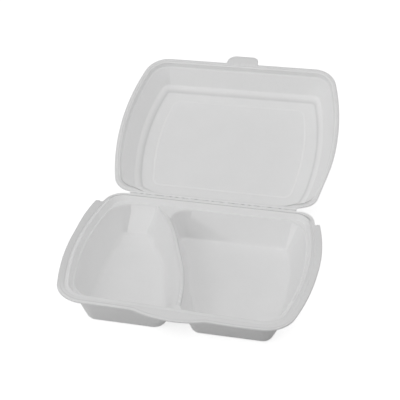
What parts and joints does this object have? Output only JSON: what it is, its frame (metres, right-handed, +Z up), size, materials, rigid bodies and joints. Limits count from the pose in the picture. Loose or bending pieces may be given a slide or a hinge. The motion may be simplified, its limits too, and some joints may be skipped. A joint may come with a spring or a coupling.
{
  "type": "foam clamshell container",
  "caption": "Two-compartment foam food box with a curved divider, a rim with a sealing ridge and a hinged lid with an opening tab, standing open.",
  "frame": {"origin": "on the table plane, under the middle of the tray's rim, on the underside of the right compartment", "axes": "+X along the hinge towards the large compartment, +Y from the front tongue to the hinge, +Z up"},
  "size_m": [0.241, 0.3661, 0.1159],
  "materials": {
    "white_foam": "satin foam skin with a faint bead texture"
  },
  "bodies": {
    "tray": {"tray": "white_foam"},
    "lid": {"lid": "white_foam"}
  },
  "joints": [
    {"name": "lid_hinge", "type": "hinge", "parent": "tray", "child": "lid", "pos_m": [0, 0.091, 0.0373], "axis": [1, 0, 0], "range_deg": [-24.5, 155.5]}
  ]
}
